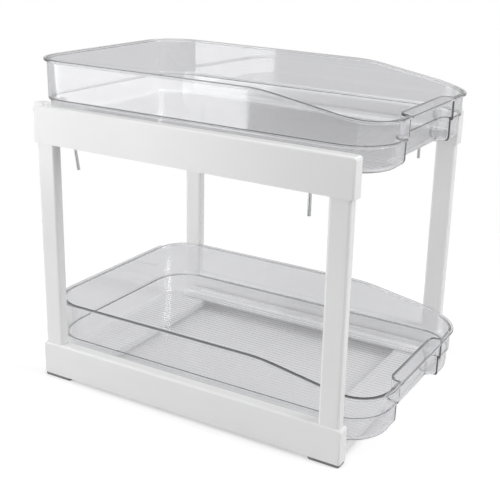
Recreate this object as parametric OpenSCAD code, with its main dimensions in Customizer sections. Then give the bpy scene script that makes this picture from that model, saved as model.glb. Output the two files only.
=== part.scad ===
// Two-level sliding organizer for the cupboard under a sink.
// A white plastic frame of two sides carries two clear trays that slide out to the front.
// +Z is up, the front is at -Y, and the origin is at the middle of the floor that it covers.

/* [Frame] */
// Width over the outer faces of the side rails
frame_w = 260; // [240:1:300]
// Length of a side rail, front to back
rail_l = 340; // [300:1:380]
// Thickness of a side rail, left to right
rail_w = 14; // [13:0.5:20]
// Height of a lower side rail
lower_rail_h = 34.5; // [32:0.5:44]
// Height of an upper side rail
upper_rail_h = 36; // [34:0.5:46]
// Clear height between the lower and the upper rails
post_gap = 208.5; // [150:0.5:260]
// Wall of the moulded rails
rail_wall = 2.2; // [1.8:0.1:2.6]
// Rounding of a rail's end seen from above
rail_end_r = 2.5; // [2:0.5:8]
// Rounding of a rail's upper outer edge
rail_top_r = 2.5; // [2:0.5:6]
// Rounding of the upper edge at a rail's ends
rail_end_top_r = 5; // [2:0.5:8]
// Rounding of a rail's inner corners seen from above
rail_inner_r = 2; // [1:0.5:4]
// Rounding of a rail's upper inner edge
rail_edge_r = 4; // [0.6:0.1:5]
// Solid plastic between a rail's end pockets and its hollow
block_wall = 3; // [2:0.5:6]
// Length of the raised stop at the rear of an upper rail
stop_l = 13; // [8:0.5:20]
// Height of that stop over the rail
stop_h = 2.8; // [1.5:0.1:4]
// How far the stop stays in from the sides of the rail
stop_in = 1.5; // [0.5:0.1:3]
// Distance from the stop to the end of its rail
stop_end_gap = 0.8; // [0.4:0.1:4]
// Rounding of the stop
stop_r = 2; // [1:0.1:2.6]

/* [Posts] */
// Thickness of a post, left to right
post_t = 10.5; // [9.5:0.1:10.9]
// Depth of a post, front to back
post_d = 21.3; // [16:0.1:26]
// Rounding of a post's long edges
post_r = 3; // [1.5:0.1:4]
// Wall of the hollow posts
post_wall = 1.8; // [1.2:0.1:2.4]
// Plastic left between a post and the rail's outer face
post_skin = 1.5; // [1.2:0.1:1.7]
// Distance from a post to the end of its rail
post_end_gap = 2.7; // [2:0.1:6]
// How far a post is plugged into each rail
socket_depth = 20; // [14:0.5:22]
// Clearance round a post in its socket, on each side
socket_fit = 0.1; // [0.05:0.05:0.2]

/* [Crossbars] */
// Width of a floor crossbar, front to back
crossbar_w = 39; // [34:1:44]
// Distance from a crossbar to the end of the rails
crossbar_end_gap = 5; // [3:0.5:12]
// Height of a floor crossbar
crossbar_h = 8; // [7.5:0.1:8.3]
// Wall of the crossbars, which are open below
crossbar_wall = 2.2; // [1.8:0.1:2.6]
// How far a crossbar's edge stays above the bottom of the rails
crossbar_lift = 0.5; // [0.3:0.1:1.5]
// Ribs inside a crossbar
crossbar_ribs = 5; // [3:1:9]
// Thickness of those ribs
crossbar_rib_t = 2; // [1.4:0.1:2.6]
// Length of the tenon at each end of a crossbar
tenon_l = 5; // [4:0.5:6]
// Width of a tenon
tenon_w = 18; // [12:1:20]
// Height of a tenon
tenon_h = 5; // [4:0.5:5.5]
// Clearance round a tenon in its mortise, on each side
tenon_fit = 0.1; // [0.05:0.05:0.2]

/* [Feet] */
// Height of the rubber feet
foot_h = 3.5; // [2.5:0.1:6]
// Length of a foot along its rail
foot_l = 32; // [26:1:36]
// How far a foot stays inside the outline of its rail
foot_inset = 0.6; // [0.4:0.1:1.5]
// Diameter of the stud on top of a foot
foot_stud_d = 5; // [4:0.1:5]
// Height of the stud on top of a foot
foot_stud_h = 4; // [3:0.1:5]
// Clearance round a stud in its hole, on each side
foot_stud_fit = 0.1; // [0.05:0.05:0.2]
// Distance from a stud to the end of its rail
foot_stud_end_gap = 13; // [11:0.5:20]
// Height of the narrower sole of a foot
foot_sole_h = 1; // [0.6:0.1:1.6]
// How far the sole steps in on each side
foot_sole_in = 0.6; // [0.4:0.1:1]

/* [Runners] */
// How far a runner reaches in from its rail
runner_reach = 20; // [18:0.5:24]
// Thickness of a runner
runner_t = 2.5; // [2:0.1:2.8]
// Distance from a runner to each end of its rail
runner_end_gap = 12; // [8:0.5:20]
// Height of the curb that guides a tray
curb_h = 7; // [4:0.5:9]
// Thickness of the curb
curb_t = 1.8; // [1.4:0.1:2.2]
// How much shorter the curb is than its runner at each end
curb_end_gap = 4; // [2:0.5:10]
// Rounding of a runner's corners
runner_r = 4; // [1:0.5:8]
// Gap between a tray and each curb
tray_side_gap = 0.8; // [0.4:0.1:1.2]
// Gap between a tray's floor and its runners
tray_seat_gap = 0.3; // [0.2:0.1:0.5]
// Gussets under a runner
gusset_count = 5; // [3:1:7]
// Spacing of the gussets
gusset_pitch = 50; // [34:1:50]
// Thickness of a gusset
gusset_t = 2; // [1.6:0.1:2.6]
// Height of a gusset
gusset_h = 8; // [6:0.5:12]
// How far a gusset stops short of the runner's edge
gusset_edge_gap = 3; // [1:0.5:8]

/* [Trays] */
// Gap between a tray's rim and the inner face of each rail, seen from above
tray_rim_gap = 0; // [0:0.5:4]
// Length of a tray over its rim
tray_l = 378; // [345:1:420]
// Radius of a tray's corners at the rim
tray_r = 44; // [36:1:60]
// Height of a tray below its shoulder
tray_low_h = 22; // [18:0.5:24]
// Height of the sides and the back above the shoulder
tray_high_h = 40; // [28:0.1:50]
// Height of the front above the shoulder
tray_front_h = 22.5; // [16:0.5:26]
// Height of the upper tray's shoulder over the top of its rails
tray_rise = 1.2; // [0.5:0.1:6]
// How much lower the lower tray sits between its rails
lower_tray_sink = 2; // [0:0.1:2]
// Wall of a tray
tray_wall = 2.2; // [1.8:0.1:2.6]
// How far the rim stands out from the wall
lip_out = 2.8; // [1.5:0.1:4]
// Thickness of the rim
lip_t = 2.6; // [2:0.1:3.4]
// How far the wall steps in at the shoulder
shoulder_step = 2; // [1:0.1:5]
// Rounding between a tray's wall and its floor
floor_r = 6; // [4:0.5:8]
// Where the slope of the sides starts, from the front
slope_top_y = 119; // [90:1:160]
// Where the slope of the sides ends, from the front
slope_foot_y = 14; // [8:1:30]
// How far the upper tray stands forward of the middle
upper_tray_forward = -2; // [-6:1:6]
// How far the lower tray stands forward of the middle
lower_tray_forward = 7; // [-6:1:12]

/* [Finger pull] */
// Half the width of the recess in a tray's front
pull_half_w = 52; // [40:1:60]
// Depth of the recess behind the front of the rim
pull_depth = 13; // [10:0.5:16]
// Rounding of the recess where its back meets its sides
pull_r = 8; // [4:0.5:9]

/* [Tray floor] */
// Spacing of the fine ribs on a tray's floor
rib_pitch = 3.3; // [2.8:0.1:6]
// Width of a rib
rib_w = 1.1; // [0.8:0.1:1.4]
// Height of a rib
rib_h = 0.5; // [0.3:0.1:0.8]
// Distance from the ends of the ribs to the back of the tray
rib_rear_gap = 17; // [16:1:40]
// Distance from the outermost ribs to the rounding of the floor
rib_side_gap = 1; // [0.5:0.1:4]

/* [Hooks] */
// Diameter of the hook wire
wire_d = 3.2; // [3:0.1:4.6]
// Distance from a hook to the end of its rail
hook_end_gap = 43.5; // [42:0.5:60]
// Height of a hook's pivot over the bottom of its rail
hook_pivot_h = 8.5; // [8:0.5:9.5]
// How far a hook hangs below its rail
hook_drop = 22; // [14:0.5:30]
// Length of the boss that carries a hook's arm
boss_l = 6; // [4:0.5:8]
// Diameter of that boss
boss_d = 9; // [8.5:0.1:10]
// Running clearance round a hook's arm, on each side
hook_fit = 0.08; // [0.04:0.01:0.1]
// Lean of the left rear hook towards the front, in degrees
hook_lean = 10; // [0:1:15]
// Radius at the inside of a hook's bend
hook_bend_r = 1.2; // [0.8:0.1:2]
// Thickness of the head that keeps a hook in its boss
hook_head_t = 1.2; // [0.8:0.1:2]
// How far that head stands out round the wire
hook_head_out = 0.7; // [0.5:0.1:1]
// End play between the head and the boss
hook_end_play = 0.3; // [0.1:0.1:0.5]

/* [Hidden] */
$fn = 72;
eps = 0.01;
// How far a cutting or a joining body reaches past the other one
cut_over = 1;

// Heights of the two levels
lower_rail_z = foot_h;
lower_top_z = lower_rail_z + lower_rail_h;
upper_rail_z = lower_top_z + post_gap;
upper_top_z = upper_rail_z + upper_rail_h;
lower_tray_z = lower_top_z + tray_rise - lower_tray_sink - tray_low_h;
upper_tray_z = upper_top_z + tray_rise - tray_low_h;

// The frame stands so that the whole object, trays included, is centred front to back
front_reach = max(rail_l / 2, tray_l / 2 + max(upper_tray_forward, lower_tray_forward));
rear_reach = max(rail_l / 2, tray_l / 2 - min(upper_tray_forward, lower_tray_forward));
frame_y = (front_reach - rear_reach) / 2;

// Places measured from the middle of the frame
rail_x = frame_w / 2 - rail_w / 2;
inner_x = frame_w / 2 - rail_w;
post_x = frame_w / 2 - post_skin - post_t / 2;
post_y = rail_l / 2 - post_end_gap - post_d / 2;
upper_block_l = post_end_gap + post_d + block_wall;
crossbar_y = rail_l / 2 - crossbar_end_gap - crossbar_w / 2;
lower_block_l = crossbar_end_gap + crossbar_w + block_wall;
tenon_z = (crossbar_h + crossbar_lift - tenon_h) / 2;
foot_y = rail_l / 2 - foot_inset - foot_l / 2;
stud_x = frame_w / 2 - rail_wall - foot_stud_fit - foot_stud_d / 2;
stud_y = rail_l / 2 - foot_stud_end_gap;
hook_y = rail_l / 2 - hook_end_gap;
stop_w = rail_w - 2 * stop_in;
stop_y = rail_l / 2 - stop_end_gap - stop_l / 2;
hook_x = rail_x;
boss_end_x = inner_x - boss_l;

// Sections of a tray, measured in from the outside of its rim
wall_in = lip_out;
low_in = lip_out + shoulder_step;
tray_w = 2 * (inner_x - tray_rim_gap);
tray_low_half_w = tray_w / 2 - low_in;
front_rim_z = tray_low_h + tray_front_h;
high_rim_z = tray_low_h + tray_high_h;
rib_span = tray_w - 2 * (low_in + floor_r + rib_side_gap);
rib_count = 2 * floor(rib_span / rib_pitch / 2) + 1;

// Rectangle with round corners, made of true arcs
module round_rect(w, l, r) {
  square([w - 2 * r, l], center = true);
  square([w, l - 2 * r], center = true);
  for (sx = [-1, 1], sy = [-1, 1])
    translate([sx * (w / 2 - r), sy * (l / 2 - r)])
      circle(r);
}

// Outline of a rail from above: its outer corners are rounder than its inner ones
module rail_plan(w, l, outer_r, inner_r) {
  difference() {
    square([w, l], center = true);
    for (s = [-1, 1]) {
      translate([w / 2, s * l / 2])
        corner_notch(outer_r, -1, -s);
      translate([-w / 2, s * l / 2])
        corner_notch(inner_r, 1, -s);
    }
  }
}

// What a rounding of radius r takes off a square corner that lies at the origin
module corner_notch(r, dx, dy) {
  difference() {
    translate([min(0, dx * r) - (dx > 0 ? eps : 0), min(0, dy * r) - (dy > 0 ? eps : 0)])
      square(r + eps);
    translate([dx * r, dy * r])
      circle(r);
  }
}

// Solid body of a right rail, centred on its own length, with its foot at z = 0
module rail_body(h) {
  intersection() {
    linear_extrude(h)
      rail_plan(rail_w, rail_l, rail_end_r, rail_inner_r);
    rotate([90, 0, 0])
      linear_extrude(rail_l, center = true)
        difference() {
          translate([-rail_w / 2, 0])
            square([rail_w, h]);
          translate([rail_w / 2, h])
            corner_notch(rail_top_r, -1, -1);
          translate([-rail_w / 2, h])
            corner_notch(rail_edge_r, 1, -1);
        }
    rotate([90, 0, 90])
      linear_extrude(rail_w, center = true)
        difference() {
          translate([-rail_l / 2, 0])
            square([rail_l, h]);
          for (s = [-1, 1])
            translate([s * rail_l / 2, h])
              corner_notch(rail_end_top_r, -s, -1);
        }
  }
}

// Raised stop on the rear end of an upper rail, rounded at its ends
module rail_stop() {
  stop_deep = rail_end_top_r + stop_h;
  intersection() {
    linear_extrude(stop_deep)
      round_rect(stop_w, stop_l, stop_r);
    rotate([90, 0, 90])
      linear_extrude(stop_w, center = true)
        difference() {
          translate([-stop_l / 2, 0])
            square([stop_l, stop_deep]);
          for (s = [-1, 1])
            translate([s * stop_l / 2, stop_deep])
              corner_notch(stop_r, -s, -1);
        }
  }
}

// Hollow of a rail between its end blocks, open below
module rail_channel(h, block_l) {
  channel_l = rail_l - 2 * block_l;
  translate([0, 0, (h - rail_wall) / 2 - eps])
    cube([rail_w - 2 * rail_wall, channel_l, h - rail_wall + 2 * eps], center = true);
}

// Pocket for a post, its floor at z = 0
module post_socket() {
  linear_extrude(socket_depth + eps)
    round_rect(post_t + 2 * socket_fit, post_d + 2 * socket_fit, post_r + socket_fit);
}

// Runner of a right rail: the flange that a tray slides on, with its curb and gussets
module runner(top_z) {
  reach_x = inner_x - runner_reach;
  run_l = rail_l - 2 * runner_end_gap;
  curb_x = tray_low_half_w + tray_side_gap;
  translate([reach_x, 0, top_z - runner_t])
    linear_extrude(runner_t)
      intersection() {
        translate([runner_reach, 0])
          round_rect(2 * runner_reach, run_l, runner_r);
        translate([0, -run_l / 2])
          square([runner_reach + rail_wall / 2, run_l]);
      }
  translate([curb_x + curb_t / 2, 0, top_z + curb_h / 2 - eps])
    cube([curb_t, run_l - 2 * curb_end_gap, curb_h + 2 * eps], center = true);
  for (i = [0 : gusset_count - 1])
    translate([0, (i - (gusset_count - 1) / 2) * gusset_pitch, top_z - runner_t])
      rotate([90, 0, 0])
        linear_extrude(gusset_t, center = true)
          polygon([
            [inner_x + rail_wall / 2, eps],
            [reach_x + gusset_edge_gap, eps],
            [inner_x, -gusset_h],
            [inner_x + rail_wall / 2, -gusset_h]
          ]);
}

module lower_rail_right() {
  color("whitesmoke")
    difference() {
      union() {
        translate([rail_x, 0, lower_rail_z])
          difference() {
            rail_body(lower_rail_h);
            rail_channel(lower_rail_h, lower_block_l);
          }
        runner(lower_tray_z - tray_seat_gap);
      }
      for (s = [-1, 1]) {
        translate([post_x, s * post_y, lower_top_z - socket_depth])
          post_socket();
        translate([inner_x + tenon_l / 2, s * crossbar_y, lower_rail_z + tenon_z + tenon_h / 2])
          cube([
            tenon_l + 2 * tenon_fit, tenon_w + 2 * tenon_fit, tenon_h + 2 * tenon_fit
          ], center = true);
        translate([stud_x, s * stud_y, lower_rail_z - eps])
          cylinder(h = foot_stud_h + foot_stud_fit, r = foot_stud_d / 2 + foot_stud_fit);
      }
    }
}

module upper_rail_right() {
  color("whitesmoke")
    difference() {
      union() {
        translate([rail_x, 0, upper_rail_z])
          difference() {
            rail_body(upper_rail_h);
            rail_channel(upper_rail_h, upper_block_l);
          }
        translate([rail_x, stop_y, upper_top_z - rail_end_top_r])
          rail_stop();
        runner(upper_tray_z - tray_seat_gap);
        for (s = [-1, 1])
          translate([boss_end_x, s * hook_y, upper_rail_z + hook_pivot_h])
            rotate([0, 90, 0])
              cylinder(h = boss_l + eps, r = boss_d / 2);
      }
      for (s = [-1, 1]) {
        translate([post_x, s * post_y, upper_rail_z - eps])
          post_socket();
        translate([boss_end_x - eps, s * hook_y, upper_rail_z + hook_pivot_h])
          rotate([0, 90, 0])
            cylinder(h = boss_l + rail_wall + 2 * eps, r = wire_d / 2 + hook_fit);
      }
    }
}

// Hollow post, plugged into the sockets of both rails
module post() {
  color("white")
    translate([0, 0, lower_top_z - socket_depth])
      linear_extrude(post_gap + 2 * socket_depth)
        difference() {
          round_rect(post_t, post_d, post_r);
          round_rect(post_t - 2 * post_wall, post_d - 2 * post_wall, post_r - post_wall / 2);
        }
}

// Crossbar that ties the lower rails, an upside-down channel with ribs and end tenons
module crossbar() {
  bar_l = 2 * inner_x;
  side_h = crossbar_h - crossbar_lift;
  rib_drop = side_h - crossbar_wall / 2;
  color("whitesmoke")
    translate([0, 0, lower_rail_z + crossbar_lift])
      union() {
        difference() {
          translate([-bar_l / 2, -crossbar_w / 2, 0])
            cube([bar_l, crossbar_w, side_h]);
          translate([-bar_l / 2 + crossbar_wall, -crossbar_w / 2 + crossbar_wall, -eps])
            cube([
              bar_l - 2 * crossbar_wall,
              crossbar_w - 2 * crossbar_wall,
              side_h - crossbar_wall + eps
            ]);
        }
        for (i = [1 : crossbar_ribs])
          translate([-bar_l / 2 + i * bar_l / (crossbar_ribs + 1), 0, rib_drop / 2])
            cube([crossbar_rib_t, crossbar_w - crossbar_wall, rib_drop], center = true);
      }
}

// One end tenon of a crossbar, standing out to the right of x = 0
module tenon() {
  color("whitesmoke")
    translate([-crossbar_wall, -tenon_w / 2, lower_rail_z + tenon_z])
      cube([tenon_l + crossbar_wall, tenon_w, tenon_h]);
}

// Crossbar at the front (s = -1) or at the rear (s = 1)
module crossbar_at(s) {
  translate([0, s * crossbar_y, 0])
    crossbar();
  for (m = [0, 1])
    mirror([m, 0, 0])
      translate([inner_x, s * crossbar_y, 0])
        tenon();
}

// Rubber foot under the right rear end of a rail, with a stud that plugs into it
module foot() {
  pad_w = rail_w - 2 * foot_inset;
  color("dimgray")
    union() {
      translate([rail_x, foot_y, foot_sole_h])
        linear_extrude(foot_h - foot_sole_h)
          foot_plan(pad_w, foot_l);
      translate([rail_x, foot_y, 0])
        linear_extrude(foot_sole_h + eps)
          foot_plan(pad_w - 2 * foot_sole_in, foot_l - 2 * foot_sole_in);
      translate([stud_x, stud_y, foot_h - eps])
        cylinder(h = foot_stud_h, r = foot_stud_d / 2);
    }
}

// Outline of a foot: its outer rear corner follows the end of the rail
module foot_plan(w, l) {
  difference() {
    square([w, l], center = true);
    translate([w / 2, l / 2])
      corner_notch(rail_end_r - foot_inset, -1, -1);
    translate([-w / 2, l / 2])
      corner_notch(rail_inner_r, 1, -1);
    for (s = [-1, 1])
      translate([s * w / 2, -l / 2])
        corner_notch(rail_inner_r, -s, 1);
  }
}

// Wire hook of a right rail: an arm that turns in the boss and a shank that hangs down
module hook(lean) {
  bend_r = wire_d / 2 + hook_bend_r;
  shank_l = hook_pivot_h + hook_drop;
  arm_end_x = boss_end_x - hook_end_play;
  color("silver")
    translate([0, 0, upper_rail_z + hook_pivot_h])
      rotate([lean, 0, 0]) {
        translate([arm_end_x - hook_head_t, 0, 0])
          rotate([0, 90, 0])
            cylinder(h = hook_head_t, r = wire_d / 2 + hook_head_out);
        translate([arm_end_x - eps, 0, 0])
          rotate([0, 90, 0])
            cylinder(h = hook_x - bend_r - arm_end_x + 2 * eps, r = wire_d / 2);
        translate([hook_x - bend_r, 0, -bend_r])
          rotate([90, 0, 0])
            rotate_extrude(angle = 90)
              translate([bend_r, 0])
                circle(wire_d / 2);
        translate([hook_x, 0, -shank_l])
          cylinder(h = shank_l - bend_r + eps, r = wire_d / 2);
      }
}

// Section of a tray's wall: x runs in from the outside of the rim, y up from the floor's underside
module wall_section() {
  translate([low_in, floor_r])
    square([tray_wall, tray_low_h + tray_wall - floor_r]);
  translate([wall_in, tray_low_h])
    square([shoulder_step + tray_wall, tray_wall]);
  translate([wall_in, tray_low_h])
    square([tray_wall, tray_high_h]);
  translate([low_in + floor_r, floor_r])
    intersection() {
      difference() {
        circle(floor_r);
        circle(floor_r - tray_wall);
      }
      translate([-floor_r, -floor_r])
        square(floor_r);
    }
  translate([low_in + floor_r - eps, 0])
    square([cut_over, tray_wall]);
}

// Sweeps a wall section round the outline of the tray
module sweep_round() {
  for (sx = [-1, 1], sy = [-1, 1])
    translate([sx * (tray_w / 2 - tray_r), sy * (tray_l / 2 - tray_r), 0])
      rotate([0, 0, sx > 0 ? (sy > 0 ? 0 : 270) : (sy > 0 ? 90 : 180)])
        rotate_extrude(angle = 90)
          translate([tray_r, 0])
            mirror([1, 0])
              children();
  for (sx = [0, 1])
    mirror([sx, 0, 0])
      translate([tray_w / 2, 0, 0])
        rotate([90, 0, 0])
          linear_extrude(tray_l - 2 * tray_r, center = true)
            mirror([1, 0])
              children();
  for (sy = [0, 1])
    mirror([0, sy, 0])
      translate([0, tray_l / 2, 0])
        rotate([90, 0, 90])
          linear_extrude(tray_w - 2 * tray_r, center = true)
            mirror([1, 0])
              children();
}

// Side view of what stays below the rim: low at the front, a slope, then high to the back
module rim_side_view(drop) {
  front_y = -tray_l / 2;
  polygon([
    [front_y - cut_over, -cut_over],
    [front_y - cut_over, front_rim_z - drop],
    [front_y + slope_foot_y, front_rim_z - drop],
    [front_y + slope_top_y, high_rim_z - drop],
    [-front_y + cut_over, high_rim_z - drop],
    [-front_y + cut_over, -cut_over]
  ]);
}

// Everything below the rim line, lowered by drop
module below_rim(drop) {
  rotate([90, 0, 90])
    linear_extrude(tray_w + 2 * cut_over, center = true)
      rim_side_view(drop);
}

// The outward lip that follows the rim line all the way round
module lip() {
  intersection() {
    linear_extrude(high_rim_z + 1)
      difference() {
        round_rect(tray_w, tray_l, tray_r);
        round_rect(
          tray_w - 2 * (lip_out + tray_wall), tray_l - 2 * (lip_out + tray_wall),
          tray_r - lip_out - tray_wall
        );
      }
    difference() {
      below_rim(0);
      translate([0, 0, -eps])
        below_rim(lip_t);
    }
  }
}

// Outline of the recess for the fingers, open to the front and grown by grow on its closed sides
module pull_plan(grow) {
  half_w = pull_half_w + grow;
  depth = pull_depth + grow;
  r = pull_r + grow;
  front_y = -tray_l / 2;
  translate([-half_w, front_y - 1])
    square([2 * half_w, depth + 1 - r]);
  translate([-half_w + r, front_y])
    square([2 * half_w - 2 * r, depth]);
  for (s = [-1, 1])
    translate([s * (half_w - r), front_y + depth - r])
      circle(r);
}

// Cuts the recess out below the flange, wider below the shoulder as the blocks beside it step in
module pull_cut(grow, flange_t) {
  translate([0, 0, -1])
    linear_extrude(tray_low_h + 1 + grow)
      pull_plan(grow + shoulder_step);
  translate([0, 0, tray_low_h])
    linear_extrude(tray_front_h - flange_t)
      pull_plan(grow);
}

// Floor of a tray with the fine ribs that run front to back
module tray_floor() {
  floor_half_l = tray_l / 2 - low_in - floor_r;
  rib_rear_y = tray_l / 2 - rib_rear_gap;
  rib_l = rib_rear_y + floor_half_l - 1;
  linear_extrude(tray_wall)
    round_rect(
      tray_w - 2 * (low_in + floor_r), tray_l - 2 * (low_in + floor_r),
      tray_r - low_in - floor_r
    );
  intersection() {
    for (i = [0 : rib_count - 1])
      translate([
        (i - (rib_count - 1) / 2) * rib_pitch, rib_rear_y - rib_l / 2, tray_wall + rib_h / 2 - eps
      ])
        cube([rib_w, rib_l, rib_h + 2 * eps], center = true);
    linear_extrude(tray_wall + rib_h)
      round_rect(
        tray_w - 2 * (low_in + floor_r), tray_l - 2 * (low_in + floor_r),
        tray_r - low_in - floor_r
      );
  }
}

// One clear tray, its underside at z = 0
module tray() {
  color("lightsteelblue", 0.5) {
    difference() {
      union() {
        intersection() {
          sweep_round()
            wall_section();
          below_rim(0);
        }
        lip();
        tray_floor();
        intersection() {
          pull_cut(tray_wall, 0);
          linear_extrude(front_rim_z)
            round_rect(
              tray_w - 2 * low_in, tray_l - 2 * wall_in, tray_r - wall_in
            );
        }
      }
      pull_cut(0, tray_wall);
    }
  }
}

module rail_lower_right() {
  translate([0, frame_y, 0])
    lower_rail_right();
}

module rail_lower_left() {
  mirror([1, 0, 0])
    rail_lower_right();
}

module rail_upper_right() {
  translate([0, frame_y, 0])
    upper_rail_right();
}

module rail_upper_left() {
  mirror([1, 0, 0])
    rail_upper_right();
}

module post_at(sx, sy) {
  translate([sx * post_x, frame_y + sy * post_y, 0])
    post();
}

module post_front_left() {
  post_at(-1, -1);
}

module post_front_right() {
  post_at(1, -1);
}

module post_rear_left() {
  post_at(-1, 1);
}

module post_rear_right() {
  post_at(1, 1);
}

module crossbar_front() {
  translate([0, frame_y, 0])
    crossbar_at(-1);
}

module crossbar_rear() {
  translate([0, frame_y, 0])
    crossbar_at(1);
}

module foot_at(mx, my) {
  translate([0, frame_y, 0])
    mirror([mx, 0, 0])
      mirror([0, my, 0])
        foot();
}

module foot_front_left() {
  foot_at(1, 1);
}

module foot_front_right() {
  foot_at(0, 1);
}

module foot_rear_left() {
  foot_at(1, 0);
}

module foot_rear_right() {
  foot_at(0, 0);
}

module hook_at(mx, sy, lean) {
  translate([0, frame_y + sy * hook_y, 0])
    mirror([mx, 0, 0])
      hook(lean);
}

module hook_front_left() {
  hook_at(1, -1, 0);
}

module hook_front_right() {
  hook_at(0, -1, 0);
}

module hook_rear_left() {
  hook_at(1, 1, -hook_lean);
}

module hook_rear_right() {
  hook_at(0, 1, 0);
}

module tray_upper() {
  translate([0, frame_y - upper_tray_forward, upper_tray_z])
    tray();
}

module tray_lower() {
  translate([0, frame_y - lower_tray_forward, lower_tray_z])
    tray();
}

rail_lower_left();
rail_lower_right();
rail_upper_left();
rail_upper_right();
post_front_left();
post_front_right();
post_rear_left();
post_rear_right();
crossbar_front();
crossbar_rear();
foot_front_left();
foot_front_right();
foot_rear_left();
foot_rear_right();
hook_front_left();
hook_front_right();
hook_rear_left();
hook_rear_right();
tray_upper();
tray_lower();
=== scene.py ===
"""Dresses the two-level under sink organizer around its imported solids.

The clear trays are modelled anew as moulded shells with drafted walls, rounded rims and fine floor
ribs. The white frame, the rubber feet and the wire hooks keep their solids' shapes, with the small
edge roundings that a mould or a cutter leaves. Lengths are in millimetres, or in metres where the
name ends in _m, and every finished mesh is in metres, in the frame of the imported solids.
"""

import logging
import math
from dataclasses import dataclass
from enum import Enum

import bmesh
import bpy
from mathutils import Matrix, Vector


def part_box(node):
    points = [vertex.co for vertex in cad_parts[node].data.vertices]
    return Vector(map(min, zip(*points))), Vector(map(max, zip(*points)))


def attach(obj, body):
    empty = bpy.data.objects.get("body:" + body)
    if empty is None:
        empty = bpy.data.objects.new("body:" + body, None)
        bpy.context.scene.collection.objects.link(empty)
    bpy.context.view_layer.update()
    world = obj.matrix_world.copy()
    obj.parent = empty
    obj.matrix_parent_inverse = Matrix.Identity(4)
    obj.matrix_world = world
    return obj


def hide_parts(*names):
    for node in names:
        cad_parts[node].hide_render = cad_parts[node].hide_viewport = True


LOG = logging.getLogger("organizer")
MM = 0.001
SAME_PLACE_M = 1e-7

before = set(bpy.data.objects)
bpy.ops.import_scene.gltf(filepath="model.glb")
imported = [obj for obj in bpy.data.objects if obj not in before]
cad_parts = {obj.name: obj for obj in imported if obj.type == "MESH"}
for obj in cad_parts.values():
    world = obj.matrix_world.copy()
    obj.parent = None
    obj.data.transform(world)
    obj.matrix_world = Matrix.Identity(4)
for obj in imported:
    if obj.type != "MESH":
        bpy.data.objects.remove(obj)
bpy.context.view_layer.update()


class Level(Enum):
    """The two levels of the organizer."""

    UPPER = "upper"
    LOWER = "lower"


def linear(hex_code: str) -> tuple[float, float, float, float]:
    """Turns an sRGB hex colour into the linear colour that a shader takes.

    Args:
        hex_code: Six hex digits with or without a leading hash.

    Returns:
        Red, green, blue and an alpha of 1.
    """
    digits = hex_code.lstrip("#")
    channels = [int(digits[i : i + 2], 16) / 255 for i in (0, 2, 4)]
    red, green, blue = (
        c / 12.92 if c <= 0.04045 else ((c + 0.055) / 1.055) ** 2.4 for c in channels
    )
    return red, green, blue, 1.0


def add_node(
    tree: bpy.types.NodeTree,
    kind: str,
    settings: dict[str, object] | None = None,
    values: dict[str | int, object] | None = None,
    links: dict[str | int, bpy.types.NodeSocket] | None = None,
) -> bpy.types.Node:
    """Adds a node with its settings, its input values and its incoming links.

    Args:
        tree: The node tree that gets the node.
        kind: Blender's name of the node's type.
        settings: Properties of the node itself.
        values: Input sockets, by name or index, and the value that each gets.
        links: Input sockets, by name or index, and the output that feeds each.

    Returns:
        The new node.
    """
    node = tree.nodes.new(kind)
    for name, value in (settings or {}).items():
        setattr(node, name, value)
    for name, value in (values or {}).items():
        node.inputs[name].default_value = value
    for name, socket in (links or {}).items():
        tree.links.new(socket, node.inputs[name])
    return node


def new_material(name: str) -> tuple[bpy.types.Material, bpy.types.NodeTree]:
    """Makes an empty node material.

    Args:
        name: The material's name.

    Returns:
        The material and its cleared node tree.
    """
    material = bpy.data.materials.new(name)
    material.use_nodes = True
    material.node_tree.nodes.clear()
    return material, material.node_tree


@dataclass(frozen=True)
class WhitePolypropylene:
    """White polypropylene from a fine-ground mould: dense, softly glossy, a little uneven in gloss.

    The tone and the gloss drift over a hand's breadth, as in a wall that cooled unevenly. The fine
    grain of the mould, drawn coarser than it is, takes the edge off the reflections.
    """

    colour: str = "#EEEEEE"
    shade: str = "#E7E7E7"
    gloss_from: float = 0.17
    gloss_to: float = 0.25
    cloud_mm: float = 70.0
    cloud_layers: float = 3.0
    grain_mm: float = 0.9
    grain_layers: float = 2.0
    grain_depth_mm: float = 0.006
    ior: float = 1.49

    def build(self) -> bpy.types.Material:
        """Returns the material, with faint clouds of tone and gloss and a fine mould grain."""
        material, tree = new_material("white_polypropylene_moulded")
        place = add_node(tree, "ShaderNodeTexCoord").outputs["Object"]
        clouds = add_node(
            tree, "ShaderNodeTexNoise",
            values={"Scale": 1 / (self.cloud_mm * MM), "Detail": self.cloud_layers},
            links={"Vector": place},
        ).outputs["Fac"]
        grain = add_node(
            tree, "ShaderNodeTexNoise",
            values={"Scale": 1 / (self.grain_mm * MM), "Detail": self.grain_layers},
            links={"Vector": place},
        ).outputs["Fac"]
        tone = add_node(
            tree, "ShaderNodeMix", {"data_type": "RGBA"},
            {"A": linear(self.colour), "B": linear(self.shade)}, {"Factor": clouds},
        )
        gloss = add_node(
            tree, "ShaderNodeMapRange",
            values={"To Min": self.gloss_from, "To Max": self.gloss_to}, links={"Value": clouds},
        )
        skin = add_node(
            tree, "ShaderNodeBump", values={"Strength": 1.0, "Distance": self.grain_depth_mm * MM},
            links={"Height": grain},
        )
        shader = add_node(
            tree, "ShaderNodeBsdfPrincipled", values={"IOR": self.ior},
            links={
                "Base Color": tone.outputs["Result"],
                "Roughness": gloss.outputs["Result"],
                "Normal": skin.outputs["Normal"],
            },
        )
        add_node(tree, "ShaderNodeOutputMaterial", links={"Surface": shader.outputs["BSDF"]})
        return material


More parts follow.
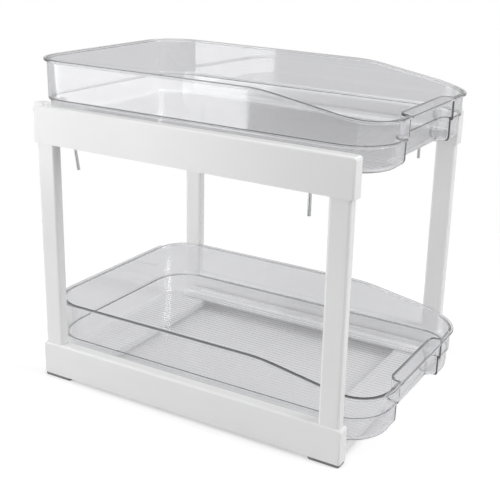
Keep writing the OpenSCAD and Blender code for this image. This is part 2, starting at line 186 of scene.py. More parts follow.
@dataclass(frozen=True)
class ClearPolystyrene:
    """Clear polystyrene from a polished mould: bright, faintly cool, greyer where it is thick.

    Light that it lets through to other surfaces passes as through thin film, without the spots that
    a curved wall would throw, so the frame and the floor inside the trays stay evenly lit.
    """

    tint: str = "#FAFAFC"
    depth_tint: str = "#CECFD2"
    depth_per_m: float = 7.0
    clarity: float = 0.98
    shadow_tint: str = "#FCFCFC"
    ior: float = 1.57
    gloss_from: float = 0.015
    gloss_to: float = 0.05
    wave_mm: float = 60.0
    wave_layers: float = 1.0
    wave_depth_mm: float = 0.02

    def build(self) -> bpy.types.Material:
        """Returns the material: slow waves of a moulded wall, uneven gloss and light shadows."""
        material, tree = new_material("clear_polystyrene_moulded")
        place = add_node(tree, "ShaderNodeTexCoord").outputs["Object"]
        waves = add_node(
            tree, "ShaderNodeTexNoise",
            values={"Scale": 1 / (self.wave_mm * MM), "Detail": self.wave_layers},
            links={"Vector": place},
        ).outputs["Fac"]
        gloss = add_node(
            tree, "ShaderNodeMapRange",
            values={"To Min": self.gloss_from, "To Max": self.gloss_to}, links={"Value": waves},
        )
        skin = add_node(
            tree, "ShaderNodeBump", values={"Strength": 1.0, "Distance": self.wave_depth_mm * MM},
            links={"Height": waves},
        )
        shader = add_node(
            tree, "ShaderNodeBsdfPrincipled",
            values={
                "Base Color": linear(self.tint),
                "IOR": self.ior,
                "Transmission Weight": self.clarity,
            },
            links={"Roughness": gloss.outputs["Result"], "Normal": skin.outputs["Normal"]},
        )
        depth = add_node(
            tree, "ShaderNodeVolumeAbsorption",
            values={"Color": linear(self.depth_tint), "Density": self.depth_per_m},
        )
        veil = add_node(
            tree, "ShaderNodeBsdfTransparent", values={"Color": linear(self.shadow_tint)}
        )
        path = add_node(tree, "ShaderNodeLightPath")
        for_soft_light = add_node(
            tree, "ShaderNodeMixShader",
            links={
                0: path.outputs["Is Diffuse Ray"],
                1: shader.outputs["BSDF"],
                2: veil.outputs["BSDF"],
            },
        )
        for_lamps = add_node(
            tree, "ShaderNodeMixShader",
            links={
                0: path.outputs["Is Shadow Ray"],
                1: for_soft_light.outputs["Shader"],
                2: veil.outputs["BSDF"],
            },
        )
        add_node(
            tree, "ShaderNodeOutputMaterial",
            links={"Surface": for_lamps.outputs["Shader"], "Volume": depth.outputs["Volume"]},
        )
        return material


@dataclass(frozen=True)
class GreyRubber:
    """Grey thermoplastic rubber, moulded: matt, with a dusty bloom that lightens it in blotches.

    Its grain is drawn coarser than it is, so that it shows.
    """

    colour: str = "#77787A"
    bloom: str = "#8A8B8D"
    roughness: float = 0.82
    bloom_mm: float = 4.0
    bloom_layers: float = 4.0
    grain_mm: float = 0.5
    grain_depth_mm: float = 0.02

    def build(self) -> bpy.types.Material:
        """Returns the material, with blotches of bloom and a fine grain."""
        material, tree = new_material("grey_thermoplastic_rubber")
        place = add_node(tree, "ShaderNodeTexCoord").outputs["Object"]
        blotches = add_node(
            tree, "ShaderNodeTexNoise",
            values={"Scale": 1 / (self.bloom_mm * MM), "Detail": self.bloom_layers},
            links={"Vector": place},
        ).outputs["Fac"]
        grain = add_node(
            tree, "ShaderNodeTexNoise", values={"Scale": 1 / (self.grain_mm * MM)},
            links={"Vector": place},
        ).outputs["Fac"]
        tone = add_node(
            tree, "ShaderNodeMix", {"data_type": "RGBA"},
            {"A": linear(self.colour), "B": linear(self.bloom)}, {"Factor": blotches},
        )
        skin = add_node(
            tree, "ShaderNodeBump", values={"Strength": 1.0, "Distance": self.grain_depth_mm * MM},
            links={"Height": grain},
        )
        shader = add_node(
            tree, "ShaderNodeBsdfPrincipled", values={"Roughness": self.roughness},
            links={"Base Color": tone.outputs["Result"], "Normal": skin.outputs["Normal"]},
        )
        add_node(tree, "ShaderNodeOutputMaterial", links={"Surface": shader.outputs["BSDF"]})
        return material


@dataclass(frozen=True)
class ChromedWire:
    """Drawn steel wire with nickel-chrome plating: like a mirror, with faint lines along it.

    The lines left by the drawing are wider than they are, so that they show.
    """

    colour: str = "#D8DADC"
    gloss_from: float = 0.05
    gloss_to: float = 0.16
    line_mm: float = 0.35
    line_layers: float = 2.0
    line_stretch: float = 0.04

    def build(self) -> bpy.types.Material:
        """Returns the material, whose gloss changes along fine lines that run up and down."""
        material, tree = new_material("chrome_plated_steel_wire")
        place = add_node(tree, "ShaderNodeTexCoord").outputs["Object"]
        drawn = add_node(
            tree, "ShaderNodeMapping", values={"Scale": (1.0, 1.0, self.line_stretch)},
            links={"Vector": place},
        )
        lines = add_node(
            tree, "ShaderNodeTexNoise",
            values={"Scale": 1 / (self.line_mm * MM), "Detail": self.line_layers},
            links={"Vector": drawn.outputs["Vector"]},
        )
        gloss = add_node(
            tree, "ShaderNodeMapRange",
            values={"To Min": self.gloss_from, "To Max": self.gloss_to},
            links={"Value": lines.outputs["Fac"]},
        )
        shader = add_node(
            tree, "ShaderNodeBsdfPrincipled",
            values={"Base Color": linear(self.colour), "Metallic": 1.0},
            links={"Roughness": gloss.outputs["Result"]},
        )
        add_node(tree, "ShaderNodeOutputMaterial", links={"Surface": shader.outputs["BSDF"]})
        return material


def link_mesh(
    name: str, bm: bmesh.types.BMesh, material: bpy.types.Material
) -> bpy.types.Object:
    """Turns a bmesh into an object of one material.

    Args:
        name: The name of the object and of its mesh.
        bm: The finished bmesh, which is freed.
        material: The material of all its faces.

    Returns:
        The object, linked into the scene.
    """
    mesh = bpy.data.meshes.new(name)
    bm.to_mesh(mesh)
    bm.free()
    mesh.materials.append(material)
    piece = bpy.data.objects.new(name, mesh)
    bpy.context.scene.collection.objects.link(piece)
    return piece


def smooth_piece(
    name: str, bm: bmesh.types.BMesh, material: bpy.types.Material, crease_deg: float
) -> bpy.types.Object:
    """Turns a bmesh into an object with smooth faces and sharp creases.

    Args:
        name: The object's name.
        bm: The finished bmesh, which is freed.
        material: The material of all its faces.
        crease_deg: Edges that bend more than this stay sharp.

    Returns:
        The object, linked into the scene.
    """
    limit = math.radians(crease_deg)
    for face in bm.faces:
        face.smooth = True
    for edge in bm.edges:
        edge.smooth = edge.calc_face_angle(0.0) < limit
    piece = link_mesh(name, bm, material)
    weighted = piece.modifiers.new("face_weighted_normals", "WEIGHTED_NORMAL")
    weighted.keep_sharp = True
    return piece


@dataclass
class SoftenedSolid:
    """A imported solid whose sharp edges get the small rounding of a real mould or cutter.

    Attributes:
        node: The name of the solid's node.
        body: The body that it rides on.
        slot: The slot of its finish.
        edge_mm: Rounding of its sharp edges.
        sharp_deg: Edges that bend more than this are sharp.
        flat_deg: Faces that bend less than this are merged into one first.
        merge_mm: Corners closer than this are one corner.
        segments: Faces across a rounding.
    """

    node: str
    body: str
    slot: str
    edge_mm: float
    sharp_deg: float = 38.0
    flat_deg: float = 0.3
    merge_mm: float = 0.0005
    segments: int = 2

    def build(self, material: bpy.types.Material) -> bpy.types.Object:
        """Makes the piece from a merged copy of the solid and puts it on its body.

        Args:
            material: The finish of the piece.

        Returns:
            The finished piece, which stands for the solid.
        """
        bm = bmesh.new()
        bm.from_mesh(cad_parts[self.node].data)
        bmesh.ops.remove_doubles(bm, verts=bm.verts, dist=self.merge_mm * MM)
        bmesh.ops.dissolve_limit(
            bm, angle_limit=math.radians(self.flat_deg), verts=bm.verts, edges=bm.edges
        )
        limit = math.radians(self.sharp_deg)
        sharp = [edge for edge in bm.edges if edge.calc_face_angle(0.0) > limit]
        bmesh.ops.bevel(
            bm, geom=sharp, offset=self.edge_mm * MM, affect="EDGES", segments=self.segments,
            profile=0.5, material=-1, clamp_overlap=True,
        )
        piece = smooth_piece(f"{self.node}_finished", bm, material, self.sharp_deg)
        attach(piece, self.body)
        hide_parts(self.node)
        return piece


@dataclass(frozen=True)
class SectionPoint:
    """One corner of the tray's wall section.

    Attributes:
        inset: Distance in from the outside of the rim.
        height: Height over the tray's underside, or over the rim line where on_rim is set.
        on_rim: True if the height follows the rim line.
        recessed: True if the point's loop follows the recess for the fingers.
    """

    inset: float
    height: float
    on_rim: bool = False
    recessed: bool = True


@dataclass
class ClearTray:
    """One clear tray: a drafted, stepped shell with a rounded rim, a finger recess and floor ribs.

    Attributes:
        level: The level that it is on.
        corner_r: Radius of its corners at the outside of the rim, seen from above.
        wall: Thickness of its walls and its floor.
        lip_out: How far the rim stands out from the wall.
        lip_t: Height of the rim's outer face.
        rim_edge_r: Rounding of the rim's outer edges.
        shoulder_h: Height of the shoulder's underside over the tray's.
        shoulder_step: How far the wall steps out at the shoulder.
        step_r: Rounding where the lower wall meets the shoulder's underside.
        hip_r: Rounding of the shoulder's outer edge.
        neck_r: Rounding between the wall and the rim's underside.
        brow_r: Rounding of the inner edges of the rim and of the shoulder's shelf.
        heel_r: Rounding between that shelf and the upper wall.
        front_rim_h: Height of the rim at the front.
        slope_foot: Distance from the front to the foot of the rim's slope.
        slope_top: Distance from the front to the top of that slope.
        slope_blend: How far each bend of the rim line is drawn out, each way.
        floor_r: Rounding between the floor's underside and the wall.
        draft_deg: Lean of the walls out of the mould, wider at the top.
        recess_half_w: Half the width of the recess for the fingers.
        recess_depth: How far the recess goes in.
        recess_r: Rounding at its back.
        block_r: Rounding of the blocks beside it.
        least_r: Least rounding of those blocks, where the section is further in.
        rib_pitch: Spacing of the floor ribs.
        rib_w: Width of a rib at its foot.
        rib_h: Height of a rib.
        rib_flank: Share of that width that each sloping flank takes.
        rib_margin: Flat border round the ribs.
        rib_rear_gap: Distance from the back of the tray to the ribs' ends.
        rib_break_at: Distance from the front to the middle of the break across the ribs.
        rib_break: Width of that break.
        recess_points: Points along half the recess: its back, its bend, its side and its block.
        front_points: Points along half the front.
        corner_points: Points round a corner.
        side_points: Points along a side.
        back_points: Points along half the back.
        crease_deg: Edges that bend more than this stay sharp.
    """

    level: Level
    corner_r: float = 44.0
    wall: float = 2.2
    lip_out: float = 2.8
    lip_t: float = 2.3
    rim_edge_r: float = 0.6
    shoulder_h: float = 22.0
    shoulder_step: float = 2.0
    step_r: float = 0.6
    hip_r: float = 1.3
    neck_r: float = 0.8
    brow_r: float = 0.7
    heel_r: float = 1.2
    front_rim_h: float = 44.5
    slope_foot: float = 14.0
    slope_top: float = 119.0
    slope_blend: float = 15.0
    floor_r: float = 6.0
    draft_deg: float = 0.5
    recess_half_w: float = 49.2
    recess_depth: float = 10.2
    recess_r: float = 5.2
    block_r: float = 5.8
    least_r: float = 0.8
    rib_pitch: float = 5.0
    rib_w: float = 1.2
    rib_h: float = 0.15
    rib_flank: float = 0.3
    rib_margin: float = 1.0
    rib_rear_gap: float = 17.0
    rib_break_at: float = 59.5
    rib_break: float = 1.2
    recess_points: tuple[int, int, int, int] = (4, 8, 2, 5)
    front_points: int = 3
    corner_points: int = 22
    side_points: int = 60
    back_points: int = 5
    crease_deg: float = 32.0

    def __post_init__(self) -> None:
        """Takes the tray's place and outer size from its solid."""
        low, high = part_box(f"tray_{self.level.value}")
        self.half_w = (high.x - low.x) / 2 / MM
        self.half_l = (high.y - low.y) / 2 / MM
        self.high_rim_h = (high.z - low.z) / MM
        self.centre_y = (high.y + low.y) / 2 / MM
        self.base_z = low.z / MM

    def rim_line(self, y: float) -> float:
        """Gives the height of the rim: low at the front, a soft-ended slope, then high to the back.

        Args:
            y: Distance from the tray's middle, towards the back.

        Returns:
            The height of the rim's top over the tray's underside.
        """

        def past(distance: float) -> float:
            """Returns how far a point is past a bend that is blended over slope_blend each way."""
            if abs(distance) < self.slope_blend:
                return (distance + self.slope_blend) ** 2 / (4 * self.slope_blend)
            return max(distance, 0.0)

        foot, top = -self.half_l + self.slope_foot, -self.half_l + self.slope_top
        rise = (self.high_rim_h - self.front_rim_h) / (top - foot)
        return self.front_rim_h + rise * (past(y - foot) - past(y - top))

    def half_outline(self, inset: float, recessed: bool) -> list[Vector]:
        """Draws the right half of the outline, from the middle of the front to that of the back.

        Args:
            inset: Distance in from the outside of the rim.
            recessed: True to follow the recess for the fingers, False to run straight past it.

        Returns:
            The points in the tray's own plane, always as many and in the same order.
        """
        front, back = -self.half_l + inset, self.half_l - inset
        block_r = max(self.block_r - inset, self.least_r)
        half = self.recess_half_w + inset
        recess_back = front + self.recess_depth
        recess_r = min(self.recess_r + inset, self.recess_depth - block_r)
        corner_x, corner_y = self.half_w - self.corner_r, self.half_l - self.corner_r
        in_back, in_bend, in_side, in_block = self.recess_points

        def line(start: tuple[float, float], end: tuple[float, float], count: int) -> list[Vector]:
            """Returns count points from start, without end."""
            return [Vector(start).lerp(Vector(end), i / count) for i in range(count)]

        def arc(
            x: float, y: float, radius: float, start_deg: float, end_deg: float, count: int
        ) -> list[Vector]:
            """Returns count points of an arc round x, y, without its end."""
            sweep = end_deg - start_deg
            turns = [math.radians(start_deg + sweep * i / count) for i in range(count)]
            return [Vector((x + radius * math.cos(a), y + radius * math.sin(a))) for a in turns]

        block_end = (half + block_r, front)
        points = line((0, recess_back), (half - recess_r, recess_back), in_back)
        points += arc(half - recess_r, recess_back - recess_r, recess_r, 90, 0, in_bend)
        points += line((half, recess_back - recess_r), (half, front + block_r), in_side)
        points += arc(half + block_r, front + block_r, block_r, 180, 270, in_block)
        if not recessed:
            # The same number of points, spread along the straight front as along the recess
            reach = [0.0]
            for a, b in zip(points, points[1:] + [Vector(block_end)]):
                reach.append(reach[-1] + (b - a).length)
            block_end = (self.recess_half_w + self.lip_out + self.block_r, front)
            points = [Vector((block_end[0] * r / reach[-1], front)) for r in reach[:-1]]
        points += line(block_end, (corner_x, front), self.front_points)
        points += arc(corner_x, -corner_y, self.corner_r - inset, -90, 0, self.corner_points)
        points += line(
            (self.half_w - inset, -corner_y), (self.half_w - inset, corner_y), self.side_points
        )
        points += arc(corner_x, corner_y, self.corner_r - inset, 0, 90, self.corner_points)
        points += line((corner_x, back), (0, back), self.back_points)
        return points + [Vector((0, back))]

    def loop(self, point: SectionPoint) -> list[Vector]:
        """Places one point of the section all the way round the tray.

        Args:
            point: The point of the section.

        Returns:
            The loop's points in metres, in the frame of the solids.
        """

        def outline(inset: float) -> list[Vector]:
            """Returns the whole closed outline at an inset."""
            half = self.half_outline(inset, point.recessed)
            return half + [Vector((-p.x, p.y)) for p in reversed(half[1:-1])]

        placed = []
        draft_in = math.tan(math.radians(self.draft_deg)) * self.high_rim_h
        at_rim, at_foot = outline(point.inset), outline(point.inset + draft_in)
        for high_spot, low_spot in zip(at_rim, at_foot):
            height = point.height + (self.rim_line(high_spot.y) if point.on_rim else 0.0)
            lean = 1 - height / self.high_rim_h if point.recessed else 0.0
            x, y = high_spot.lerp(low_spot, lean)
            placed.append(Vector((x, y + self.centre_y, height + self.base_z)) * MM)
        return placed

    def section(self) -> list[SectionPoint]:
        """Gives the wall's section, from the floor's underside up the outside and down the inside.

        Returns:
            The points of the section, one for each loop of the shell.
        """

        def bend(
            x: float, z: float, radius: float, start_deg: float, end_deg: float, steps: int,
            on_rim: bool = False, recessed: bool = True,
        ) -> list[SectionPoint]:
            """Returns an arc of the section, with the angle counted from inwards to upwards."""
            sweep = end_deg - start_deg
            turns = [math.radians(start_deg + sweep * i / steps) for i in range(steps + 1)]
            return [
                SectionPoint(x + radius * math.cos(a), z + radius * math.sin(a), on_rim, recessed)
                for a in turns
            ]

        step_r, hip_r, neck_r, rim_r = self.step_r, self.hip_r, self.neck_r, self.rim_edge_r
        brow_r, heel_r, inner_r = self.brow_r, self.heel_r, self.floor_r - self.wall
        low_in = self.lip_out + self.shoulder_step
        floor_in = low_in + self.floor_r
        inner_in = self.lip_out + self.wall
        shelf = self.shoulder_h + self.wall

        points = bend(floor_in, self.floor_r, self.floor_r, -90, -180, steps=7)
        points += bend(low_in - step_r, self.shoulder_h - step_r, step_r, 0, 90, steps=3)
        points += bend(self.lip_out + hip_r, self.shoulder_h + hip_r, hip_r, -90, -180, steps=5)
        points += bend(
            self.lip_out - neck_r, -self.lip_t - neck_r, neck_r, 0, 90, steps=3, on_rim=True
        )
        # The rim's outer face runs straight past the recess
        for height, turn in ((rim_r - self.lip_t, -90), (-rim_r, -180)):
            points += bend(
                rim_r, height, rim_r, turn, turn - 90, steps=4, on_rim=True, recessed=False
            )
        points += bend(inner_in - brow_r, -brow_r, brow_r, 90, 0, steps=3, on_rim=True)
        points += bend(inner_in + heel_r, shelf + heel_r, heel_r, -180, -90, steps=4)
        points += bend(low_in + self.wall - brow_r, shelf - brow_r, brow_r, 90, 0, steps=3)
        points += bend(floor_in, self.floor_r, inner_r, -180, -90, steps=6)
        return points

    def shell(self) -> bmesh.types.BMesh:
        """Sweeps the section round the tray and closes the floor's underside and top.

        Returns:
            The closed shell; its last face is the top of the floor.
        """
        bm = bmesh.new()
        section = self.section()
        ring = [bm.verts.new(place) for place in self.loop(section[0])]
        for a, b in zip(ring, ring[1:] + ring[:1]):
            bm.edges.new((a, b))
        first = ring
        for point in section[1:]:
            edges = [bm.edges.get(pair) for pair in zip(ring, ring[1:] + ring[:1])]
            grown = bmesh.ops.extrude_edge_only(bm, edges=edges)["geom"]
            fresh = {g for g in grown if isinstance(g, bmesh.types.BMVert)}
            ring = [
                next(e.other_vert(v) for e in v.link_edges if e.other_vert(v) in fresh)
                for v in ring
            ]
            for vert, place in zip(ring, self.loop(point)):
                vert.co = place
        for end in (first, ring):
            edges = [bm.edges.get(pair) for pair in zip(end, end[1:] + end[:1])]
            bmesh.ops.contextual_create(bm, geom=edges)
        bmesh.ops.recalc_face_normals(bm, faces=bm.faces)
        return bm

    def raise_ribs(self, bm: bmesh.types.BMesh) -> int:
        """Cuts the top of the floor into strips and raises every other one as a low sloped rib.

        Args:
            bm: The closed shell.

        Returns:
            The number of ribs.
        """
        bm.faces.ensure_lookup_table()
        top = bm.faces[-1]
        bmesh.ops.inset_region(bm, faces=[top], thickness=self.rib_margin * MM)
        reach = max(abs(v.co.x) for v in top.verts) / MM
        count = 2 * int((reach - self.rib_w) / self.rib_pitch) + 1
        centres = [(i - (count - 1) / 2) * self.rib_pitch for i in range(count)]
        rear = (self.centre_y + self.half_l - self.rib_rear_gap) * MM
        gap = (self.centre_y - self.half_l + self.rib_break_at) * MM
        half_gap = self.rib_break / 2 * MM
        cuts = [
            (Vector((centre + side * self.rib_w / 2, 0, 0)) * MM, Vector((1, 0, 0)))
            for centre in centres
            for side in (-1, 1)
        ]
        cuts += [
            (Vector((0, y, 0)), Vector((0, 1, 0))) for y in (rear, gap - half_gap, gap + half_gap)
        ]
        geometry = [top, *top.edges, *top.verts]
        for place, across in cuts:
            geometry = bmesh.ops.bisect_plane(
                bm, geom=geometry, plane_co=place, plane_no=across, dist=SAME_PLACE_M
            )["geom"]
        ribs = []
        for strip in (g for g in geometry if isinstance(g, bmesh.types.BMFace)):
            middle = strip.calc_center_median()
            off = (middle.x / MM) / self.rib_pitch
            on_rib = abs(off - round(off)) * self.rib_pitch < self.rib_w / 2
            if on_rib and middle.y < rear and abs(middle.y - gap) > half_gap:
                ribs.append(strip)
        bmesh.ops.inset_individual(
            bm, faces=ribs, thickness=self.rib_w * self.rib_flank * MM, depth=self.rib_h * MM,
            use_even_offset=True,
        )
        return len(ribs)

    def build(self, material: bpy.types.Material) -> bpy.types.Object:
        """Makes the tray and puts it on its body.

        Args:
            material: The clear plastic.

        Returns:
            The finished tray, which stands for its solid.
        """
        bm = self.shell()
        ribs = self.raise_ribs(bm)
        piece = smooth_piece(f"tray_{self.level.value}_clear", bm, material, self.crease_deg)
        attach(piece, f"{self.level.value}_tray")
        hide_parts(f"tray_{self.level.value}")
        LOG.info("%s: %d ribs, %d faces", piece.name, ribs, len(piece.data.polygons))
        return piece


@dataclass(frozen=True)
class Softbox:
    """A softbox of the studio.

    Attributes:
        name: The lamp's name.
        place_m: Where it hangs.
        size_m: Its width and height.
        watts: Its power.
        mirrored: False if mirrors and glass don't see it.
    """

    name: str
    place_m: tuple[float, float, float]
    size_m: tuple[float, float]
    watts: float
    mirrored: bool = True

    def hang(self, aim_m: Vector) -> bpy.types.Object:
        """Hangs the softbox and turns it to a place.

        Args:
            aim_m: The place that it faces.

        Returns:
            The lamp.
        """
        light = bpy.data.lights.new(self.name, "AREA")
        light.shape = "RECTANGLE"
        light.size, light.size_y = self.size_m
        light.energy = self.watts
        lamp = bpy.data.objects.new(self.name, light)
        bpy.context.scene.collection.objects.link(lamp)
        lamp.visible_glossy = lamp.visible_transmission = self.mirrored
        turn = (aim_m - Vector(self.place_m)).to_track_quat("-Z", "Y").to_matrix().to_4x4()
        lamp.matrix_world = Matrix.Translation(self.place_m) @ turn
        return lamp


@dataclass(frozen=True)
class FarCard:
    """An upright card far off that only mirrors and glass see: a painted reflection, bright as of a
    window or dark as of a dark room's side.

    Attributes:
        name: The card's name.
        from_deg: Where its first edge stands, turned from the left towards the back.
        to_deg: Where its other edge stands.
        low_m: Height of its lower edge, which may be below the floor.
        high_m: Height of its upper edge.
        strength: How bright it glows, where white is 1.
        away_m: Its distance from the middle of the object.
    """

    name: str
    from_deg: float
    to_deg: float
    low_m: float
    high_m: float
    strength: float
    away_m: float = 6.0

    def stand(self) -> bpy.types.Object:
        """Returns the card, stood up to face the object."""
        width = 2 * self.away_m * math.tan(math.radians(self.to_deg - self.from_deg) / 2)
        middle = math.radians((self.from_deg + self.to_deg) / 2)
        place = Vector((-math.cos(middle), math.sin(middle), 0.0)) * self.away_m
        place.z = (self.low_m + self.high_m) / 2
        facing = Vector((-place.x, -place.y, 0.0)).to_track_quat("Z", "Y").to_matrix().to_4x4()
        bm = bmesh.new()
        bmesh.ops.create_grid(bm, x_segments=1, y_segments=1, size=0.5)
        bmesh.ops.scale(bm, vec=(width, self.high_m - self.low_m, 1.0), verts=bm.verts)
        bmesh.ops.transform(bm, matrix=Matrix.Translation(place) @ facing, verts=bm.verts)
        material, tree = new_material(self.name)
        glow = add_node(tree, "ShaderNodeEmission", values={"Strength": self.strength})
        add_node(tree, "ShaderNodeOutputMaterial", links={"Surface": glow.outputs["Emission"]})
        piece = link_mesh(self.name, bm, material)
        # Only mirrors and glass see the card, so its glow is a painted reflection that lights
        # nothing and throws no shadow.
        piece.visible_camera = piece.visible_diffuse = piece.visible_shadow = False
        return piece


@dataclass
class Studio:
    """The pale studio: a paper floor, a bright surround, softboxes and far cards.

    Seen straight, all that surrounds the object is white. Seen in or through the trays it is the
    grey that the photograph shows there, next to the bright card of painted window reflection.

    Attributes:
        floor_half_m: Half the length of the floor's sides.
        floor_left_m: How far the floor reaches to the left, where the cards show past it.
        near_m: Distance from the object up to which the paper takes shadows.
        far_m: Distance from which it only glows.
        paper: The colour of the paper.
        glow: Glow of the near paper, seen straight.
        mirrored_glow: Glow of the near paper, seen in or through the trays.
        backdrop: Level of all that is further off, seen in or through the trays.
        ambient: Level at which the surround lights the object.
        surround: The colour of the surround.
        bounces: How often light may pass the trays' walls.
        aim_m: The place that the softboxes face.
        softboxes: The lamps.
        cards: The far cards, whose glow is painted reflection in mirrors and glass.
    """

    floor_half_m: float = 12.0
    floor_left_m: float = 0.7
    near_m: float = 0.3
    far_m: float = 0.6
    paper: str = "#D4D4D4"
    glow: float = 0.44
    mirrored_glow: float = 0.12
    backdrop: float = 0.66
    ambient: float = 0.365
    surround: str = "#FFFFFF"
    bounces: int = 24
    aim_m: tuple[float, float, float] = (0.0, 0.0, 0.15)
    softboxes: tuple[Softbox, ...] = (
        Softbox("overhead_softbox", (-0.2, -0.1, 1.7), (1.6, 1.6), watts=9.5),
        Softbox("rear_left_softbox", (-1.15, 1.35, 0.6), (1.1, 1.1), watts=18.5, mirrored=False),
        Softbox("front_softbox", (0.3, -1.8, 1.2), (1.0, 1.0), watts=21.0),
    )
    cards: tuple[FarCard, ...] = (
        # Painted reflections only: the bright card paints a window's reflection on the frame, wire
        # and trays; the dark card paints dark reflections on the wire and the trays' rims.
        FarCard("bright_painted_reflection_card", 30.5, 78.0, low_m=-2.8, high_m=1.5, strength=3.3),
        FarCard("dark_painted_reflection_card", -25.0, 30.5, low_m=-2.8, high_m=3.0, strength=0.2),
    )

    def build(self) -> None:
        """Lays the floor, sets the surround, hangs the softboxes and stands the cards."""
        self.floor()
        self.sky()
        cycles = bpy.context.scene.cycles
        cycles.max_bounces = cycles.transmission_bounces = self.bounces
        cycles.transparent_max_bounces = self.bounces
        for softbox in self.softboxes:
            softbox.hang(Vector(self.aim_m))
        for card in self.cards:
            card.stand()

    def floor(self) -> bpy.types.Object:
        """Returns the floor, which ends a little to the left of the object."""
        bm = bmesh.new()
        bmesh.ops.create_grid(bm, x_segments=1, y_segments=1, size=self.floor_half_m)
        to_right = Vector((self.floor_half_m - self.floor_left_m, 0.0, 0.0))
        bmesh.ops.translate(bm, vec=to_right, verts=bm.verts)
        piece = link_mesh("studio_floor", bm, self.paper_finish())
        return piece

    def paper_finish(self) -> bpy.types.Material:
        """Makes white studio paper: matt with soft shadows near the object, pure white beyond.

        Returns:
            The material, whose glow shows but doesn't light the object.
        """
        material, tree = new_material("white_studio_paper")
        place = add_node(tree, "ShaderNodeTexCoord").outputs["Object"]
        away = add_node(tree, "ShaderNodeVectorMath", {"operation": "LENGTH"}, links={0: place})
        beyond = add_node(
            tree, "ShaderNodeMapRange", {"interpolation_type": "SMOOTHSTEP"},
            {"From Min": self.near_m, "From Max": self.far_m}, {"Value": away.outputs["Value"]},
        )
        straight = add_node(tree, "ShaderNodeLightPath").outputs["Is Camera Ray"]
        seen = self.seen_rays(tree)
        paper = add_node(
            tree, "ShaderNodeBsdfDiffuse", values={"Color": linear(self.paper), "Roughness": 0.0}
        )
        near_level = add_node(
            tree, "ShaderNodeMapRange", values={"To Min": self.mirrored_glow, "To Max": self.glow},
            links={"Value": straight},
        )
        near_seen = add_node(
            tree, "ShaderNodeMath", {"operation": "MULTIPLY"},
            links={0: near_level.outputs["Result"], 1: seen},
        )
        near_glow = add_node(
            tree, "ShaderNodeEmission", links={"Strength": near_seen.outputs["Value"]}
        )
        near_paper = add_node(
            tree, "ShaderNodeAddShader",
            links={0: paper.outputs["BSDF"], 1: near_glow.outputs["Emission"]},
        )
        far_level = add_node(
            tree, "ShaderNodeMapRange", values={"To Min": self.backdrop, "To Max": 1.0},
            links={"Value": straight},
        )
        far_glow = add_node(
            tree, "ShaderNodeEmission", links={"Strength": far_level.outputs["Result"]}
        )
        far_share = add_node(
            tree, "ShaderNodeMath", {"operation": "MULTIPLY"},
            links={0: beyond.outputs["Result"], 1: seen},
        )
        mix = add_node(
            tree, "ShaderNodeMixShader",
            links={
                0: far_share.outputs["Value"],
                1: near_paper.outputs["Shader"],
                2: far_glow.outputs["Emission"],
            },
        )
        add_node(tree, "ShaderNodeOutputMaterial", links={"Surface": mix.outputs["Shader"]})
        return material

    def seen_rays(self, tree: bpy.types.NodeTree) -> bpy.types.NodeSocket:
        """Picks the rays by which the background is seen: straight, mirrored or through glass.

        Args:
            tree: The node tree that gets the nodes.

        Returns:
            An output that is 1 for those rays and 0 for those that light the object.
        """
        path = add_node(tree, "ShaderNodeLightPath")
        mirrored = add_node(
            tree, "ShaderNodeMath", {"operation": "MAXIMUM"},
            links={0: path.outputs["Is Glossy Ray"], 1: path.outputs["Is Transmission Ray"]},
        )
        either = add_node(
            tree, "ShaderNodeMath", {"operation": "MAXIMUM"},
            links={0: path.outputs["Is Camera Ray"], 1: mirrored.outputs["Value"]},
        )
        return either.outputs["Value"]

    def sky(self) -> None:
        """Sets the surround: white if seen straight, greyer through the trays, dim as a light."""
        world = bpy.data.worlds.new("studio_surround")
        bpy.context.scene.world = world
        world.use_nodes = True
        tree = world.node_tree
        tree.nodes.clear()
        straight = add_node(tree, "ShaderNodeLightPath").outputs["Is Camera Ray"]
        mirrored = add_node(
            tree, "ShaderNodeMapRange", values={"To Min": self.ambient, "To Max": self.backdrop},
            links={"Value": self.seen_rays(tree)},
        )
        level = add_node(
            tree, "ShaderNodeMath", {"operation": "MAXIMUM"},
            links={0: straight, 1: mirrored.outputs["Result"]},
        )
        ground = add_node(
            tree, "ShaderNodeBackground", values={"Color": linear(self.surround)},
            links={"Strength": level.outputs["Value"]},
        )
        add_node(tree, "ShaderNodeOutputWorld", links={"Surface": ground.outputs["Background"]})


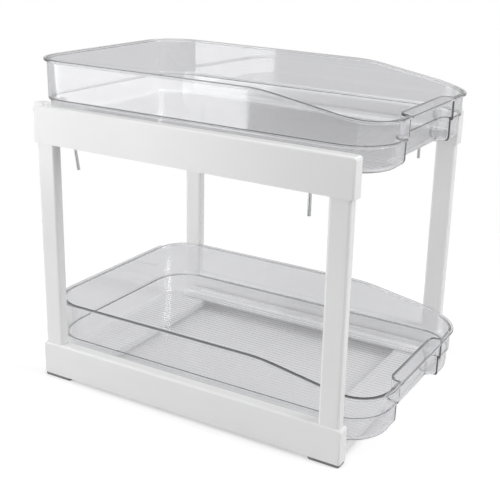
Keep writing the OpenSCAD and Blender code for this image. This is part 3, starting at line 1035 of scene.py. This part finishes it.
@dataclass
class PhotographCamera:
    """The camera that was worked out from the photograph's edges.

    Attributes:
        place_m: Where it stands.
        heading_deg: How far it is turned to the right from looking to the back.
        down_deg: How far it looks down.
        roll_deg: How far it is rolled about its own line of sight.
        focal_px: Its focal length in the photograph's pixels.
        centre_px: The pixel that it looks at straight.
        frame_px: The photograph's width and height.
        sensor_mm: The width of its sensor.
        nearest_m: Where it starts to see.
    """

    place_m: tuple[float, float, float] = (-0.7860, -0.4649, 0.4596)
    heading_deg: float = 62.351
    down_deg: float = 17.698
    roll_deg: float = 2.261
    focal_px: float = 938.5
    centre_px: tuple[float, float] = (302.07, 218.897)
    frame_px: float = 500.0
    sensor_mm: float = 36.0
    nearest_m: float = 0.01

    def build(self) -> bpy.types.Object:
        """Returns the scene's camera, placed and framed as in the photograph."""
        data = bpy.data.cameras.new("photograph_camera")
        data.sensor_width = self.sensor_mm
        data.lens = self.focal_px / self.frame_px * self.sensor_mm
        middle = self.frame_px / 2
        data.shift_x = (middle - self.centre_px[0]) / self.frame_px
        data.shift_y = (self.centre_px[1] - middle) / self.frame_px
        data.clip_start = self.nearest_m
        camera = bpy.data.objects.new("photograph_camera", data)
        bpy.context.scene.collection.objects.link(camera)
        camera.matrix_world = (
            Matrix.Translation(self.place_m)
            @ Matrix.Rotation(-math.radians(self.heading_deg), 4, "Z")
            @ Matrix.Rotation(math.radians(90.0 - self.down_deg), 4, "X")
            @ Matrix.Rotation(math.radians(self.roll_deg), 4, "Z")
        )
        bpy.context.scene.camera = camera
        return camera


def solids() -> list[SoftenedSolid]:
    """Lists the pieces whose solids keep their shape: the frame, the feet and the hooks."""
    rail_edge, post_edge, foot_edge, hook_edge, crossbar_edge = 0.35, 0.3, 0.4, 0.25, 0.3
    pieces = []
    for side in ("left", "right"):
        for level in Level:
            rail = f"rail_{level.value}_{side}"
            pieces.append(SoftenedSolid(rail, "frame", "frame_plastic", rail_edge))
        for end in ("front", "rear"):
            place = f"{end}_{side}"
            pieces += [
                SoftenedSolid(f"post_{place}", "frame", "frame_plastic", post_edge),
                SoftenedSolid(f"foot_{place}", "frame", "foot_rubber", foot_edge),
                SoftenedSolid(f"hook_{place}", f"{place}_hook", "hook_wire", hook_edge),
            ]
    for end in ("front", "rear"):
        pieces.append(SoftenedSolid(f"crossbar_{end}", "frame", "frame_plastic", crossbar_edge))
    return pieces


def main() -> None:
    """Builds the camera, the studio and every piece, and reports them."""
    logging.basicConfig(level=logging.INFO, format="%(name)s: %(message)s")
    bpy.context.scene.view_settings.view_transform = "Standard"
    PhotographCamera().build()
    Studio().build()
    finishes = {
        "frame_plastic": WhitePolypropylene().build(),
        "foot_rubber": GreyRubber().build(),
        "hook_wire": ChromedWire().build(),
    }
    for solid in solids():
        piece = solid.build(finishes[solid.slot])
        LOG.info("%s: %d faces", piece.name, len(piece.data.polygons))
    clear = ClearPolystyrene().build()
    for level in Level:
        ClearTray(level).build(clear)


if __name__ == "__main__":
    main()
